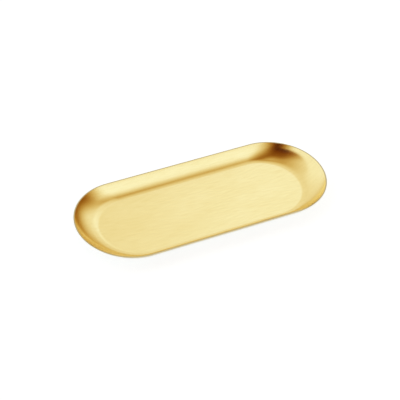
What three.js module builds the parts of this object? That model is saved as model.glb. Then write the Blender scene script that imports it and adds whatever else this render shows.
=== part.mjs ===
// A small obround metal tray, drawn from one sheet: a flat floor, a wall that sweeps up all round,
// and a rim that is ground level. Millimetres, +Z up, the long way along X. The origin is the middle
// of the underside, which is the face that the tray stands on.
import * as THREE from "three";

// Driving dimensions, over the metal
const TRAY_LENGTH = 230;
const TRAY_WIDTH = 92;
const TRAY_HEIGHT = 11.6;
const SHEET_THICKNESS = 0.8;

// The flat floor is an obround too, but a stubbier one: the wall leans out further at the ends
const FLOOR_END_RADIUS = 32.5;
const FLOOR_END_CENTRE = 60; // from the middle of the tray to the centre of each round end

// The wall's section on a long side: an easy bend off the floor, then one long arc to the rim
const BEND_RADIUS = 8;
const RIM_SLOPE = THREE.MathUtils.degToRad(64);

// How finely the round shapes are cut into flats
const STEPS_ROUND_END = 36;
const STEPS_BEND = 6;
const STEPS_WALL = 8;

const SATIN_GOLD = { color: 0xf0dc9c, roughness: 0.32, metalness: 1 };

// The middle of the sheet's thickness, where its two skins are offset from
const HALF_SHEET = SHEET_THICKNESS / 2;

// Ground level, the slanting sheet leaves a flat on top that is wider than the sheet is thick
const HALF_LAND = HALF_SHEET / Math.sin(RIM_SLOPE);

const RIM_END_RADIUS = TRAY_WIDTH / 2 - HALF_LAND;
const RIM_END_CENTRE = (TRAY_LENGTH - TRAY_WIDTH) / 2;
const WALL_RUN = RIM_END_RADIUS - FLOOR_END_RADIUS;
const WALL_RISE = TRAY_HEIGHT - HALF_SHEET;
const END_SPREAD = (RIM_END_CENTRE - FLOOR_END_CENTRE) / WALL_RUN;

// The section of the wall, from the edge of the flat floor (0, 0) to the rim (WALL_RUN, WALL_RISE).
// Two arcs meet in one tangent: the radius of the second follows from the two ends and the slope.
function wallSection() {
  const riseOverBend = WALL_RISE - BEND_RADIUS;
  const wallRadius =
    (WALL_RUN ** 2 + riseOverBend ** 2 - BEND_RADIUS ** 2) /
    (2 * (WALL_RUN * Math.sin(RIM_SLOPE) - riseOverBend * Math.cos(RIM_SLOPE) - BEND_RADIUS));
  const centreOut = WALL_RUN - wallRadius * Math.sin(RIM_SLOPE);
  const centreUp = WALL_RISE + wallRadius * Math.cos(RIM_SLOPE);
  const bendSlope = Math.atan2(-centreOut, centreUp - BEND_RADIUS);

  const section = [];
  for (let i = 0; i < STEPS_BEND; i++) {
    const slope = (bendSlope * i) / STEPS_BEND;
    section.push({
      out: BEND_RADIUS * Math.sin(slope),
      up: BEND_RADIUS * (1 - Math.cos(slope)),
      slope,
    });
  }
  for (let i = 0; i <= STEPS_WALL; i++) {
    const slope = THREE.MathUtils.lerp(bendSlope, RIM_SLOPE, i / STEPS_WALL);
    section.push({
      out: centreOut + wallRadius * Math.sin(slope),
      up: centreUp - wallRadius * Math.cos(slope),
      slope,
    });
  }
  return section;
}

// The headings round the tray, anticlockwise from above: half a turn at each end. The long sides
// are straight, so each needs no point between the last of one end and the first of the other.
function headings() {
  const round = [];
  for (const end of [1, -1]) {
    for (let i = 0; i <= STEPS_ROUND_END; i++) {
      const angle = -Math.PI / 2 + (Math.PI * i) / STEPS_ROUND_END;
      round.push({ end, x: end * Math.cos(angle), y: end * Math.sin(angle) });
    }
  }
  return round;
}

// A point on one skin of the sheet: side is -1 on the inner skin and 1 on the outer one.
function skinPoint(place, heading, side) {
  const radius = FLOOR_END_RADIUS + place.out;
  const centre = FLOOR_END_CENTRE + END_SPREAD * place.out;
  const lean = Math.cos(place.slope) * (1 + END_SPREAD * Math.abs(heading.x));
  const climb = Math.sin(place.slope);
  const outward = new THREE.Vector3(climb * heading.x, climb * heading.y, -lean).normalize();
  return new THREE.Vector3(
    heading.end * centre + radius * heading.x,
    radius * heading.y,
    HALF_SHEET + place.up,
  ).addScaledVector(outward, side * HALF_SHEET);
}

// A point on one edge of the flat on top of the rim
function landPoint(heading, side) {
  const radius = RIM_END_RADIUS + side * HALF_LAND;
  return new THREE.Vector3(
    heading.end * RIM_END_CENTRE + radius * heading.x,
    radius * heading.y,
    TRAY_HEIGHT,
  );
}

// Closed loops of points all round the tray, in the order that a finger takes them in: out along the
// inner skin, over the flat on the rim, and back in along the outer skin.
function skinLoops() {
  const around = headings();
  const belowRim = wallSection().slice(0, -1);
  const skin = (side) =>
    belowRim.map((place) => around.map((heading) => skinPoint(place, heading, side)));
  const land = (side) => around.map((heading) => landPoint(heading, side));
  return [...skin(-1), land(-1), land(1), ...skin(1).reverse()];
}

// One closed body: a floor disc on top, the loops joined by bands, and a disc underneath.
function trayGeometry() {
  const loops = skinLoops();
  const count = loops[0].length;
  const positions = loops.flat().flatMap((point) => point.toArray());
  const faces = [];

  for (let band = 0; band < loops.length - 1; band++) {
    for (let i = 0; i < count; i++) {
      const a = band * count + i;
      const b = band * count + ((i + 1) % count);
      faces.push(a, a + count, b, b, a + count, b + count);
    }
  }

  const floorTop = positions.length / 3;
  positions.push(0, 0, SHEET_THICKNESS, 0, 0, 0);
  const underside = floorTop + 1;
  const lastLoop = (loops.length - 1) * count;
  for (let i = 0; i < count; i++) {
    const next = (i + 1) % count;
    faces.push(floorTop, i, next);
    faces.push(underside, lastLoop + next, lastLoop + i);
  }

  const geometry = new THREE.BufferGeometry();
  geometry.setAttribute("position", new THREE.Float32BufferAttribute(positions, 3));
  geometry.setIndex(faces);
  geometry.computeVertexNormals();
  return geometry;
}

const trayPressing = new THREE.Mesh(
  trayGeometry(),
  new THREE.MeshStandardMaterial(SATIN_GOLD),
);
trayPressing.name = "tray_pressing";

const tray = new THREE.Group();
tray.name = "tray";
tray.add(trayPressing);

export default tray;
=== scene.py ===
# %% [markdown]
# # A small gold tray
#
# The real object is one sheet of steel, plated pale gold, brushed lengthwise and pressed into a
# shallow tray with round ends. There is nothing else to it: no handles, no feet, no second piece.
# Its rim is ground level after pressing, which leaves a narrow flat on top all the way round.
# So this lesson is about two things that a simple object can't hide, the exact sweep of its wall
# and the way that satin metal mirrors the light round it.
#
# The packed part is loaded first. It is the frame that every visible piece has to fit.

# %% Load the part
from math import atan2, cos, degrees, pi, radians, sin

import bmesh
import bpy
from mathutils import Matrix, Vector


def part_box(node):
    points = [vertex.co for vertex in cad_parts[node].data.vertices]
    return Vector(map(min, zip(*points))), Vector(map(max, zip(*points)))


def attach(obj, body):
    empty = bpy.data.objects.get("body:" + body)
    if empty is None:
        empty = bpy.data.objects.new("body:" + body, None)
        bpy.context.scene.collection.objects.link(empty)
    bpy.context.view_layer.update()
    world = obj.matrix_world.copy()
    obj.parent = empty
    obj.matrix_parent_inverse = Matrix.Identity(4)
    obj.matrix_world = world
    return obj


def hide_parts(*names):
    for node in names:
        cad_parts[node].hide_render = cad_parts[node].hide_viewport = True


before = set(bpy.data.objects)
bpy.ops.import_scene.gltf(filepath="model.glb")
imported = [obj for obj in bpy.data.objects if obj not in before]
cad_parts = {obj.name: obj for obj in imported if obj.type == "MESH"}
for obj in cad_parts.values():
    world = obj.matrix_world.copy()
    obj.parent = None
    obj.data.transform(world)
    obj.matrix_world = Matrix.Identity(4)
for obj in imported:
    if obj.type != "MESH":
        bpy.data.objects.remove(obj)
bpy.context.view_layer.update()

# %% [markdown]
# ## The driving dimensions
#
# The outer size is read from the part, so the visible tray can't drift away from it. The part
# doesn't say how its wall curves, so the few sizes of the section are given here again, in metres.
# The flat floor is a stubbier shape than the rim, which makes the wall lean out further at the
# two ends than along the sides.

# %% Sizes
MM = 0.001

TRAY_LOW, TRAY_HIGH = (Vector(corner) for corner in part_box("tray_pressing"))
LENGTH, WIDTH, HEIGHT = TRAY_HIGH - TRAY_LOW

SHEET_THICKNESS = 0.8 * MM
FLOOR_END_RADIUS = 32.5 * MM
FLOOR_END_CENTRE = 60 * MM
BEND_RADIUS = 8 * MM
RIM_SLOPE = radians(64)
print(f"tray {LENGTH / MM:.1f} x {WIDTH / MM:.1f} x {HEIGHT / MM:.1f} mm")

# %% [markdown]
# ## Sums in place of nodes
#
# Both the shape and the finish are made with nodes, and node sums are tedious to place by hand.
# A `Wire` stands for one output of a node and can be added, scaled and compared like a number:
# each sign adds the Math node that does it. Every node that isn't a sum comes from `Bench.node`,
# which sets the node's own settings first and then feeds its sockets.

# %% A wire, which can be used in sums
class Wire:
    """One output socket of a node."""

    def __init__(self, bench, socket):
        self.bench = bench
        self.socket = socket

    def beside(self, name):
        """Another output of the same node."""
        return Wire(self.bench, self.socket.node.outputs[name])

    def math(self, operation, *others):
        return self.bench.math(operation, self, *others)

    def __add__(self, other):
        return self.math("ADD", other)

    def __radd__(self, other):
        return self.bench.math("ADD", other, self)

    def __sub__(self, other):
        return self.math("SUBTRACT", other)

    def __rsub__(self, other):
        return self.bench.math("SUBTRACT", other, self)

    def __mul__(self, other):
        return self.math("MULTIPLY", other)

    def __rmul__(self, other):
        return self.bench.math("MULTIPLY", other, self)

    def __truediv__(self, other):
        return self.math("DIVIDE", other)

    def __rtruediv__(self, other):
        return self.bench.math("DIVIDE", other, self)

    def __mod__(self, other):
        return self.math("FLOORED_MODULO", other)

    def __rmod__(self, other):
        return self.bench.math("FLOORED_MODULO", other, self)

    def __pow__(self, other):
        return self.math("POWER", other)

    def __rpow__(self, other):
        return self.bench.math("POWER", other, self)

    def __gt__(self, other):
        return self.math("GREATER_THAN", other)

    def __lt__(self, other):
        return self.math("LESS_THAN", other)

    def __neg__(self):
        return self.math("MULTIPLY", -1)

    def sin(self):
        return self.math("SINE")

    def cos(self):
        return self.math("COSINE")

    def abs(self):
        return self.math("ABSOLUTE")

    def round(self):
        return self.math("ROUND")

    def least(self, other):
        return self.math("MINIMUM", other)

    def most(self, other):
        return self.math("MAXIMUM", other)

    def share(self):
        """The value held between 0 and 1."""
        return self.most(0).least(1)

    def ease(self):
        """The value held between 0 and 1, arriving gently at both."""
        held = self.share()
        return held * held * (3 - 2 * held)


print("signs that a wire understands:", "+ - * / % ** > <")

# %% A bench, which adds the nodes
# A Mix node has sockets for every kind of value. These are the places of its factor and of the
# sockets for colours.
MIX_SHARE, MIX_START, MIX_END, MIX_RESULT = 0, 6, 7, 2


class Bench:
    """A node tree, with the one method that adds a node to it."""

    def __init__(self, tree):
        self.tree = tree

    def node(self, kind, settings=None, inputs=None, output=0):
        """Add a node, and give the wire of one of its outputs if it has any."""
        node = self.tree.nodes.new(kind)
        for name, value in (settings or {}).items():
            setattr(node, name, value)
        for name, value in (inputs or {}).items():
            self.feed(node.inputs[name], value)
        if not node.outputs:
            return node
        return Wire(self, node.outputs[output])

    def feed(self, socket, value):
        if isinstance(value, Wire):
            self.tree.links.new(value.socket, socket)
        else:
            socket.default_value = value

    def math(self, operation, *values):
        return self.node("ShaderNodeMath", {"operation": operation}, dict(enumerate(values)))

    def join(self, x, y, z):
        return self.node("ShaderNodeCombineXYZ", inputs={"X": x, "Y": y, "Z": z})

    def split(self, vector):
        x = self.node("ShaderNodeSeparateXYZ", inputs={"Vector": vector})
        return x, x.beside("Y"), x.beside("Z")

    def mix(self, share, start, end):
        """A colour that goes from start to end as share goes from 0 to 1."""
        inputs = {MIX_SHARE: share, MIX_START: start, MIX_END: end}
        return self.node("ShaderNodeMix", {"data_type": "RGBA"}, inputs, output=MIX_RESULT)


def bare_bench(owner):
    """The bench of a material or a world, cleared of the nodes that it came with."""
    owner.use_nodes = True
    owner.node_tree.nodes.clear()
    return Bench(owner.node_tree)


print("what a bench can do:", ", ".join(name for name in vars(Bench) if not name.startswith("_")))

# %% [markdown]
# ## The section of the wall
#
# Cut across a long side, the sheet leaves the floor in an easy bend and then rises in one longer
# arc that is steepest at the rim. Two arcs that touch without a corner are fixed by where they
# start, where they end and how steep the end is, so the second radius doesn't have to be given.
# It could have been a curve drawn by hand, but then its length and slope would be guesses.

# %% Work out the two arcs
HALF_SHEET = SHEET_THICKNESS / 2
HALF_LAND = HALF_SHEET / sin(RIM_SLOPE)
RIM_END_RADIUS = WIDTH / 2 - HALF_LAND
RIM_END_CENTRE = (LENGTH - WIDTH) / 2
WALL_RUN = RIM_END_RADIUS - FLOOR_END_RADIUS
WALL_RISE = HEIGHT - HALF_SHEET
END_SPREAD = (RIM_END_CENTRE - FLOOR_END_CENTRE) / WALL_RUN

RISE_OVER_BEND = WALL_RISE - BEND_RADIUS
WALL_RADIUS = (WALL_RUN**2 + RISE_OVER_BEND**2 - BEND_RADIUS**2) / (
    2 * (WALL_RUN * sin(RIM_SLOPE) - RISE_OVER_BEND * cos(RIM_SLOPE) - BEND_RADIUS)
)
CENTRE_OUT = WALL_RUN - WALL_RADIUS * sin(RIM_SLOPE)
CENTRE_UP = WALL_RISE + WALL_RADIUS * cos(RIM_SLOPE)
BEND_SLOPE = atan2(-CENTRE_OUT, CENTRE_UP - BEND_RADIUS)
print(f"the wall takes over from the bend at a slope of {degrees(BEND_SLOPE):.1f} degrees")
print(f"the wall's own radius is {WALL_RADIUS / MM:.1f} mm")
print(f"the flat on the rim is {2 * HALF_LAND / MM:.2f} mm wide")

# %% [markdown]
# ## The pressing, as a folded grid
#
# A flat grid is all that the shape needs. Its columns become headings round the tray and its rows
# become places along the sheet: out over the floor, up the inside of the wall, over the flat on
# the rim and back underneath. Geometry Nodes moves every point of the grid to its place, then
# merges the points that meet, which closes the skin. A spin can't make this, because the floor
# and the rim are different shapes, and a subdivided cage would only come near the true arcs.

# %% How many rows and columns
FLATS_PER_END = 128
FLOOR_ROWS = 12
BEND_ROWS = 14
WALL_ROWS = 20
LAND_ROWS = 6

SKIN_ROWS = FLOOR_ROWS + BEND_ROWS + WALL_ROWS
LAST_ROW = 2 * SKIN_ROWS + LAND_ROWS
HEADINGS = 2 * (FLATS_PER_END + 1)
print(f"a grid of {HEADINGS + 1} by {LAST_ROW + 1} points")

# %% The tree's inputs
PRESSING_SIZES = {
    "Half Sheet": HALF_SHEET,
    "Floor End Radius": FLOOR_END_RADIUS,
    "Floor End Centre": FLOOR_END_CENTRE,
    "End Spread": END_SPREAD,
    "Bend Radius": BEND_RADIUS,
    "Bend Slope": BEND_SLOPE,
    "Wall Radius": WALL_RADIUS,
    "Rim Slope": RIM_SLOPE,
}


def pressing_inputs(tree):
    """Named inputs on the tree, and the identifier by which a modifier sets each one."""
    tree.interface.new_socket("Geometry", in_out="OUTPUT", socket_type="NodeSocketGeometry")
    keys = {}
    for name in PRESSING_SIZES:
        socket = tree.interface.new_socket(name, in_out="INPUT", socket_type="NodeSocketFloat")
        keys[name] = socket.identifier
    finish = tree.interface.new_socket("Finish", in_out="INPUT", socket_type="NodeSocketMaterial")
    keys["Finish"] = finish.identifier
    return keys


print("sizes that the tree takes:", ", ".join(PRESSING_SIZES))

# %% [markdown]
# Each point of the grid asks two questions: which way round the tray am I, and how far along the
# sheet? The answers give one formula for the whole skin. `side` is -1 on the inner skin and 1 on
# the outer one, and crosses over on the rim. A plain offset would leave the rim square to the
# slanting sheet. `trim` slides each skin a little along itself, the inner one down and the outer
# one up, and has done so fully at the rim, so that the two end at one height.
#
# The same answers say where the point was on the flat sheet, before the press bent it. That place
# is kept as an attribute, because the sheet is brushed while it is still flat: the lines run
# straight over the floor, round the bend and up the wall, and the finish has to follow them. The
# attribute's third number is `side`, so that the finish knows the skins and the rim apart.

# %% Where a column and a row lie
def heading_of(column):
    """Which round end a column belongs to (1 or -1), and its direction out from that end."""
    around = column % HEADINGS
    second_end = around > FLATS_PER_END
    angle = (around - second_end * (FLATS_PER_END + 1)) * (pi / FLATS_PER_END) - pi / 2
    end = 1 - 2 * second_end
    return end, end * angle.cos(), end * angle.sin()


def progress_of(row):
    """How far a row is over the floor, round the bend and up the wall, each from 0 to 1."""
    from_middle = row.least(LAST_ROW - row)
    on_floor = (from_middle / FLOOR_ROWS).share()
    on_bend = ((from_middle - FLOOR_ROWS) / BEND_ROWS).share()
    on_wall = ((from_middle - FLOOR_ROWS - BEND_ROWS) / WALL_ROWS).share()
    return on_floor, on_bend, on_wall


def section_at(on_bend, on_wall, size):
    """The sheet's slope, how far out and up it has come from the floor, and its length so far."""
    bend = size["Bend Slope"] * on_bend
    slope = bend + (size["Rim Slope"] - size["Bend Slope"]) * on_wall
    out = size["Bend Radius"] * bend.sin() + size["Wall Radius"] * (slope.sin() - bend.sin())
    rise = size["Bend Radius"] * (1 - bend.cos()) + size["Wall Radius"] * (bend.cos() - slope.cos())
    unrolled = size["Bend Radius"] * bend + size["Wall Radius"] * (slope - bend)
    return slope, out, rise, unrolled


print("a row knows its place on the sheet, and a column its heading")

# %% The formula for one point
def skin_offset(slope, ahead, side, trim, size):
    """How far out and up a skin lies from the middle of the sheet."""
    lean = slope.cos() * (1 + size["End Spread"] * ahead.abs())
    climb = slope.sin()
    offset = side * size["Half Sheet"] / (lean * lean + climb * climb) ** 0.5
    outwards = offset * (climb + trim * lean * lean / climb)
    upwards = -offset * lean * (1 - trim)
    return outwards, upwards


def skin_point(column, row, size):
    """Where a point of the grid goes, and where it was on the flat sheet."""
    end, ahead, aside = heading_of(column)
    on_floor, on_bend, on_wall = progress_of(row)
    slope, out, rise, unrolled = section_at(on_bend, on_wall, size)
    side = 2 * ((row - SKIN_ROWS) / LAND_ROWS).share() - 1
    outwards, upwards = skin_offset(slope, ahead, side, on_wall, size)
    floor_radius = size["Floor End Radius"] * (1 - (1 - on_floor) ** 2)

    across = floor_radius + out + outwards
    centre = size["Floor End Centre"] + size["End Spread"] * out
    place = (end * centre + across * ahead, across * aside, size["Half Sheet"] + rise + upwards)

    sheet_across = floor_radius + unrolled
    sheet_centre = size["Floor End Centre"] + size["End Spread"] * unrolled
    flat_place = (end * sheet_centre + sheet_across * ahead, sheet_across * aside, side)
    return place, flat_place


print("one formula places", (HEADINGS + 1) * (LAST_ROW + 1), "points")

# %% The tree
WELD = 0.002 * MM
FLAT_SHEET = "flat_sheet"


def build_pressing_tree():
    """The tree that folds the grid into the tray, and the identifiers of its inputs."""
    tree = bpy.data.node_groups.new("pressed sheet", "GeometryNodeTree")
    keys = pressing_inputs(tree)
    bench = Bench(tree)
    given = bench.node("NodeGroupInput")
    size = {name: given.beside(name) for name in PRESSING_SIZES}

    grid = bench.node(
        "GeometryNodeMeshGrid",
        inputs={"Size X": 1.0, "Size Y": 1.0, "Vertices X": HEADINGS + 1, "Vertices Y": LAST_ROW + 1},
    )
    # The grid is one metre across and lies round the origin, so it starts half a metre back
    across, along, _ = bench.split(bench.node("GeometryNodeInputPosition"))
    column = ((across + 0.5) * HEADINGS).round()
    row = ((along + 0.5) * LAST_ROW).round()
    place, flat_place = skin_point(column, row, size)

    skin = bench.node(
        "GeometryNodeStoreNamedAttribute",
        {"data_type": "FLOAT_VECTOR", "domain": "POINT"},
        {"Geometry": grid, "Name": FLAT_SHEET, "Value": bench.join(*flat_place)},
    )
    skin = bench.node(
        "GeometryNodeSetPosition", inputs={"Geometry": skin, "Position": bench.join(*place)}
    )
    skin = bench.node("GeometryNodeMergeByDistance", inputs={"Geometry": skin, "Distance": WELD})
    skin = bench.node("GeometryNodeSetShadeSmooth", inputs={"Geometry": skin})
    skin = bench.node("GeometryNodeRealizeInstances", inputs={"Geometry": skin})
    skin = bench.node(
        "GeometryNodeSetMaterial", inputs={"Geometry": skin, "Material": given.beside("Finish")}
    )
    bench.node("NodeGroupOutput", inputs={"Geometry": skin})
    return tree, keys


pressing_tree, PRESSING_KEYS = build_pressing_tree()
print(len(pressing_tree.nodes), "nodes fold the grid into a tray")

# %% [markdown]
# ## Satin gold
#
# The plating is thin and even. What makes it satin is a grain of fine lines, brushed along the
# sheet: each line is a shallow groove, and together they smear a reflection across the grain.
# Drawing such lines in the colour alone would look like paint. Here they are height, and Bump
# turns them into small tilts of the surface:
#
# - the grain itself, lines a quarter of a millimetre wide
# - streaks, where the belt pressed a little harder for a centimetre or so
#
# Noise that is stretched along one direction gives both, by how far it is stretched. A third and
# much larger noise stands for the slight clouds that handling and plating leave. The clouds and
# the streaks also move the colour a little, between a paler and a warmer gold, which mottles it.

# %% Noise in lines
SKINS_APART = 7.0
NOISE_MIDDLE = 0.5

GRAIN = {"length": 12 * MM, "width": 0.25 * MM, "detail": 2.0}
STREAK = {"length": 11 * MM, "width": 1.5 * MM, "detail": 3.0}
CLOUD = {"length": 45 * MM, "width": 22 * MM, "detail": 2.0}
GRAIN_DEPTH = 0.0012 * MM
STREAK_DEPTH = 0.0015 * MM


def lines(bench, flat_sheet, length, width, detail):
    """Noise drawn out along the sheet, which differs from one skin to the other."""
    x, y, side = bench.split(flat_sheet)
    stretched = bench.join(x / length, y / width, SKINS_APART * side)
    return bench.node(
        "ShaderNodeTexNoise", inputs={"Vector": stretched, "Scale": 1.0, "Detail": detail}
    )


print(f"the grain's lines are {GRAIN['width'] / MM} mm wide and {GRAIN['length'] / MM:.0f} mm long")

# %% [markdown]
# The flat on the rim was ground after pressing. It is duller and greyer than the faces, and seen
# from above it draws a fine line round the whole tray. Only there is `side` anything between -1
# and 1, so the finish knows the flat by that.

# %% Colours, and how dull each place is
PALE_GOLD = (0.955, 0.835, 0.49, 1.0)
WARM_GOLD = (0.895, 0.74, 0.365, 1.0)
GROUND_RIM = (0.58, 0.50, 0.32, 1.0)

# The mottling is part clouds and part streaks, and is drawn stronger than the noise gives it
CLOUD_SHARE = 0.4
MOTTLE = 1.7

# Roughness on the faces and on the rim, and how much streaks and clouds change it
SATIN = 0.165
RIM_SATIN = 0.38
STREAK_SATIN = 0.03
CLOUD_SATIN = 0.02

# How steeply the faces' finish gives way to the rim's
RIM_STEEPNESS = 30
print(f"the mottling is {CLOUD_SHARE:.0%} clouds, and the rest is streaks")

# %% The finish
def satin_gold():
    """The brushed metal of the faces, and the ground metal of the rim."""
    material = bpy.data.materials.new("satin gold")
    bench = bare_bench(material)
    flat_sheet = bench.node("ShaderNodeAttribute", {"attribute_name": FLAT_SHEET}, output="Vector")
    grain, streak, cloud = (lines(bench, flat_sheet, **size) for size in (GRAIN, STREAK, CLOUD))
    side = bench.split(flat_sheet)[2]
    on_rim = (RIM_STEEPNESS * (1 - side.abs())).share()

    mottling = cloud * CLOUD_SHARE + streak * (1 - CLOUD_SHARE)
    warmth = NOISE_MIDDLE + MOTTLE * (mottling - NOISE_MIDDLE)
    faces = bench.mix(warmth.share(), PALE_GOLD, WARM_GOLD)
    colour = bench.mix(on_rim, faces, GROUND_RIM)

    satin = SATIN + (streak - NOISE_MIDDLE) * STREAK_SATIN + (cloud - NOISE_MIDDLE) * CLOUD_SATIN
    roughness = satin + (RIM_SATIN - satin) * on_rim
    relief = grain * GRAIN_DEPTH + streak * STREAK_DEPTH
    tilt = bench.node("ShaderNodeBump", inputs={"Strength": 1.0, "Distance": 1.0, "Height": relief})
    metal = bench.node(
        "ShaderNodeBsdfPrincipled",
        inputs={"Base Color": colour, "Metallic": 1.0, "Roughness": roughness, "Normal": tilt},
    )
    bench.node("ShaderNodeOutputMaterial", inputs={"Surface": metal})
    return material


gold = satin_gold()
print(f"satin gold: {len(gold.node_tree.nodes)} nodes")

# %% [markdown]
# ## Press the sheet
#
# The tree is run once by a modifier, and the shape that it gives is kept as a plain mesh. A plain
# mesh is what the rest of the tools understand, and it can be measured: a sound pressing has no
# open edge, and its faces all point out of the metal, so its volume comes out positive. Smooth
# shading would round off the two corners of the rim, so edges as sharp as those are marked.

# %% Make the piece
RIM_CORNER_ANGLE = radians(40)


def press_tray(finish):
    """Run the tree once, and keep its result as the piece's own mesh."""
    piece = bpy.data.objects.new("tray_shell", bpy.data.meshes.new("tray_shell"))
    bpy.context.scene.collection.objects.link(piece)
    fold = piece.modifiers.new("fold the grid", "NODES")
    fold.node_group = pressing_tree
    for name, size in PRESSING_SIZES.items():
        fold[PRESSING_KEYS[name]] = size
    fold[PRESSING_KEYS["Finish"]] = finish

    pressed = piece.evaluated_get(bpy.context.evaluated_depsgraph_get())
    mesh = bpy.data.meshes.new_from_object(pressed)
    piece.modifiers.remove(fold)
    mesh.set_sharp_from_angle(angle=RIM_CORNER_ANGLE)
    piece.data = mesh
    return piece


def face_outwards(mesh):
    """Turn the faces out of the metal, and give its volume and how many edges are open."""
    work = bmesh.new()
    work.from_mesh(mesh)
    if work.calc_volume(signed=True) < 0:
        bmesh.ops.reverse_faces(work, faces=work.faces)
        work.to_mesh(mesh)
    volume = work.calc_volume(signed=True)
    open_edges = sum(not edge.is_manifold for edge in work.edges)
    work.free()
    return volume, open_edges


tray_shell = press_tray(gold)
volume, open_edges = face_outwards(tray_shell.data)
print(len(tray_shell.data.polygons), "faces and", open_edges, "open edges")
print(f"{volume / MM**3:.0f} cubic millimetres of metal")

# %% Put it in the frame
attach(tray_shell, "root")
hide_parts("tray_pressing")
print("tray_shell stands for tray_pressing")

# %% [markdown]
# ## The floor
#
# The tray stands on a plain white floor. A floor that is lit like the tray would render grey, and
# more light would burn out the gold. So the floor keeps a matt white, which catches the tray's
# shadow, and adds a glow of its own, which shows to the camera, in mirrors and through glass, but
# throws no light on anything matt.
#
# Mirrored rays need more care. The outer skin looks straight down at the strip of floor under the
# wall, which lies in the tray's own shade, and a strip that glowed in full would light the skin
# from below. So for them the glow fades by nearly a third towards the tray, by distance from the
# rim: a painted shadow round the tray, which only the metal shows.
#
# The light on the floor is a little yellow, and both of its colours lean to blue to make it white.

# %% The floor's finish
FLOOR_WHITE = (0.45, 0.50, 0.59, 1.0)
FLOOR_GLOW = (0.72, 0.74, 0.79, 1.0)
# The painted shadow in mirrors: the share of the glow left under the tray, and its reach
SHADED_GLOW = 0.7
SHADE_REACH = 30 * MM


def out_of_painted_shade(bench):
    """Out of the painted shadow, by distance from the rim: 0 under the tray and 1 where it ends."""
    x, y, _ = bench.split(bench.node("ShaderNodeTexCoord", output="Object"))
    past_centre = (x.abs() - RIM_END_CENTRE).most(0)
    from_rim = (past_centre * past_centre + y * y) ** 0.5 - WIDTH / 2
    return (from_rim / SHADE_REACH).ease()


def floor_finish():
    """A matt white, with a glow that depends on what kind of ray looks at it."""
    material = bpy.data.materials.new("white floor")
    bench = bare_bench(material)
    camera = bench.node("ShaderNodeLightPath", output="Is Camera Ray")
    glossy = camera.beside("Is Glossy Ray")
    through = camera.beside("Is Transmission Ray")
    # A painted shadow: mirrored rays see the glow dimmed near the tray
    mirrored = glossy * (SHADED_GLOW + (1 - SHADED_GLOW) * out_of_painted_shade(bench))
    seen = (camera + through).most(mirrored)
    matt = bench.node("ShaderNodeBsdfDiffuse", inputs={"Color": FLOOR_WHITE})
    glow = bench.node("ShaderNodeEmission", inputs={"Color": FLOOR_GLOW, "Strength": seen})
    surface = bench.node("ShaderNodeAddShader", inputs={0: matt, 1: glow})
    bench.node("ShaderNodeOutputMaterial", inputs={"Surface": surface})
    return material


print(f"the tray's shade reaches {SHADE_REACH / MM:.0f} mm past its rim")

# %% Lay the floor
FLOOR_HALF = 40.0
FLOOR_DROP = 0.05 * MM


def lay_floor():
    """One wide square, just clear of the tray's underside."""
    corners = [(-1, -1), (1, -1), (1, 1), (-1, 1)]
    height = TRAY_LOW.z - FLOOR_DROP
    mesh = bpy.data.meshes.new("floor")
    mesh.from_pydata([(x * FLOOR_HALF, y * FLOOR_HALF, height) for x, y in corners], [], [(0, 1, 2, 3)])
    mesh.materials.append(floor_finish())
    floor = bpy.data.objects.new("floor", mesh)
    bpy.context.scene.collection.objects.link(floor)
    return floor


floor = lay_floor()
print(f"a floor {2 * FLOOR_HALF:.0f} m across")

# %% [markdown]
# ## The camera
#
# The photograph was taken with a long lens from nearly a metre and a half away, a little over
# forty degrees up. The camera is placed by those angles round a point near the middle of the
# tray, and is tipped a few degrees to one side, which no look-at constraint would do. Its numbers
# were fitted to the tray's outline in the photograph, by a program outside this script.

# %% Place the camera
CAMERA_TURN = radians(31.13)
CAMERA_RISE = radians(42.63)
CAMERA_TIP = radians(-6.29)
CAMERA_DISTANCE = 1.4156
CAMERA_LENS = 150.4
CAMERA_AIM = Vector((-2.4 * MM, 0, 9.3 * MM))


def place_camera():
    """A camera that looks at the tray from its turn and rise, tipped about its own line of sight."""
    away = Vector(
        (-sin(CAMERA_TURN) * cos(CAMERA_RISE), -cos(CAMERA_TURN) * cos(CAMERA_RISE), sin(CAMERA_RISE))
    )
    level_right = Vector((cos(CAMERA_TURN), -sin(CAMERA_TURN), 0))
    level_up = away.cross(level_right)
    right = level_right * cos(CAMERA_TIP) - level_up * sin(CAMERA_TIP)
    up = level_right * sin(CAMERA_TIP) + level_up * cos(CAMERA_TIP)

    data = bpy.data.cameras.new("camera")
    data.lens = CAMERA_LENS
    camera = bpy.data.objects.new("camera", data)
    camera.matrix_world = Matrix.Translation(CAMERA_AIM + away * CAMERA_DISTANCE) @ (
        Matrix((right, up, away)).transposed().to_4x4()
    )
    bpy.context.scene.collection.objects.link(camera)
    bpy.context.scene.camera = camera
    return camera


camera = place_camera()
print("camera at", [round(value, 3) for value in camera.matrix_world.translation])

# %% [markdown]
# ## The light
#
# Satin metal is a soft mirror, so its light is best thought of as a room: large pale panels, and
# dark gaps between them. The world holds that room as one level of brightness for each direction.
# A panel is a stretch of that sky with soft edges. It is given by its level, by its middle, by how
# far it reaches to either side, and by its blur, which is how wide its edge is. The last three are
# pairs of degrees: how far round the tray from the camera's side, where 90 is to the camera's
# right, and how high above the floor. The panel overhead reaches all the way round.
#
# The dark gap at the camera draws the deep corner at the tray's far right. The low dim stretch
# between the panels at the front right and behind right draws the dark left end, because the left
# wall looks that way.
#
# A room like this can't be guessed at one go. A program outside this script first worked out a map
# of the light from the shading of the tray in the photograph, and the first panels were read off
# it. The others were placed one by one, where the tray still came out too light or too dark. Then
# the level of the ceiling, the tint and fall of the light, and every panel but the last two were
# fitted to that shading by one program, and written in here, rounded, by another.

# %% The panels
CEILING_LEVEL = 0.26
ALL_ROUND = 400

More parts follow.
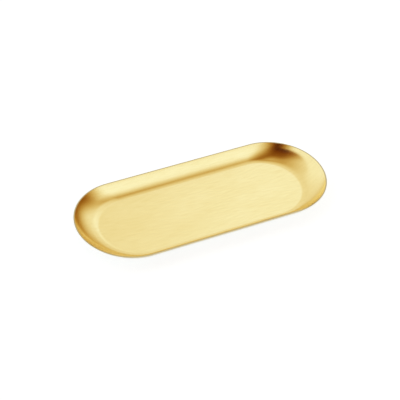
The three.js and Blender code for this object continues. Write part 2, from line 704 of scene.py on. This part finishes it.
PANELS = {
    "gap at the camera": {"middle": (5, 34), "reach": (44, 25), "blur": (6, 33), "level": 0.003},
    "behind": {"middle": (228, 35), "reach": (64, 43), "blur": (53, 60), "level": 0.975},
    "behind right": {"middle": (150, 40), "reach": (29, 28), "blur": (45, 40), "level": 1.032},
    "left": {"middle": (282, 24), "reach": (57, 25), "blur": (46, 9), "level": 1.091},
    "front right": {"middle": (51, 24), "reach": (35, 35), "blur": (51, 54), "level": 1.122},
    "right": {"middle": (123, 65), "reach": (36, 6), "blur": (29, 40), "level": 1.005},
    "bright spot": {"middle": (168, 42), "reach": (14, 5), "blur": (8, 11), "level": 1.131},
    "dim strip at the front": {"middle": (31, 37), "reach": (7, 7), "blur": (33, 42), "level": 0.732},
    "bridge at the right": {"middle": (78, 43), "reach": (41, 5), "blur": (60, 60), "level": 1.186},
    "low at the camera": {"middle": (345, 0), "reach": (60, 14), "blur": (20, 14), "level": 0.9},
    "overhead": {"middle": (0, 90), "reach": (ALL_ROUND, 8), "blur": (10, 16), "level": 0.75},
}


def within(away, reach, blur):
    """1 inside a panel and 0 outside, for a distance away from its middle."""
    return ((reach - away) / blur + 0.5).ease()


def cover(turn, rise, middle, reach, blur):
    """How much a panel covers a direction: 1 inside it and 0 outside, with soft edges."""
    beside = ((turn - middle[0] + 180) % 360 - 180).abs()
    above = (rise - middle[1]).abs()
    return within(beside, reach[0], blur[0]) * within(above, reach[1], blur[1])


def room_level(turn, rise):
    """The brightness of the room: each panel is laid over the ones before it."""
    level = CEILING_LEVEL
    for panel in PANELS.values():
        share = cover(turn, rise, panel["middle"], panel["reach"], panel["blur"])
        level = level + (panel["level"] - level) * share
    return level


print(len(PANELS), "soft panels round the tray")

# %% [markdown]
# A bright panel is a warm white, and the dim parts of a room are warmer still, since their light
# has come off other things first. Raising the level to a higher power in green, and higher still
# in blue, does that in three short sums: at full level they give the panel's own tint, and lower
# down blue falls away first.

# %% Light the world
LIGHT_TINT = {"Red": 0.931, "Green": 0.891, "Blue": 0.7}
LIGHT_FALL = {"Red": 1.0, "Green": 1.84, "Blue": 3.81}


def light_room():
    """A world whose light is the room's, by direction."""
    world = bpy.data.worlds.new("soft studio")
    bench = bare_bench(world)
    x, y, z = bench.split(bench.node("ShaderNodeTexCoord", output="Generated"))
    rise = z.math("ARCSINE").math("DEGREES")
    # The camera stands at -90 degrees less its turn from +X, and turns are counted from there
    turn = y.math("ARCTAN2", x).math("DEGREES") + 90 + degrees(CAMERA_TURN)
    level = room_level(turn, rise)
    channels = {name: LIGHT_TINT[name] * level ** LIGHT_FALL[name] for name in LIGHT_TINT}
    colour = bench.node("ShaderNodeCombineColor", inputs=channels)
    sky = bench.node("ShaderNodeBackground", inputs={"Color": colour, "Strength": 1.0})
    bench.node("ShaderNodeOutputWorld", inputs={"Surface": sky})
    bpy.context.scene.world = world
    return world


world = light_room()
print(f"the room takes {len(world.node_tree.nodes)} nodes")

# %% [markdown]
# ## Finish
#
# The picture is kept plain: the standard view transform shows a colour as it is written.

# %% Finish
bpy.context.scene.view_settings.view_transform = "Standard"
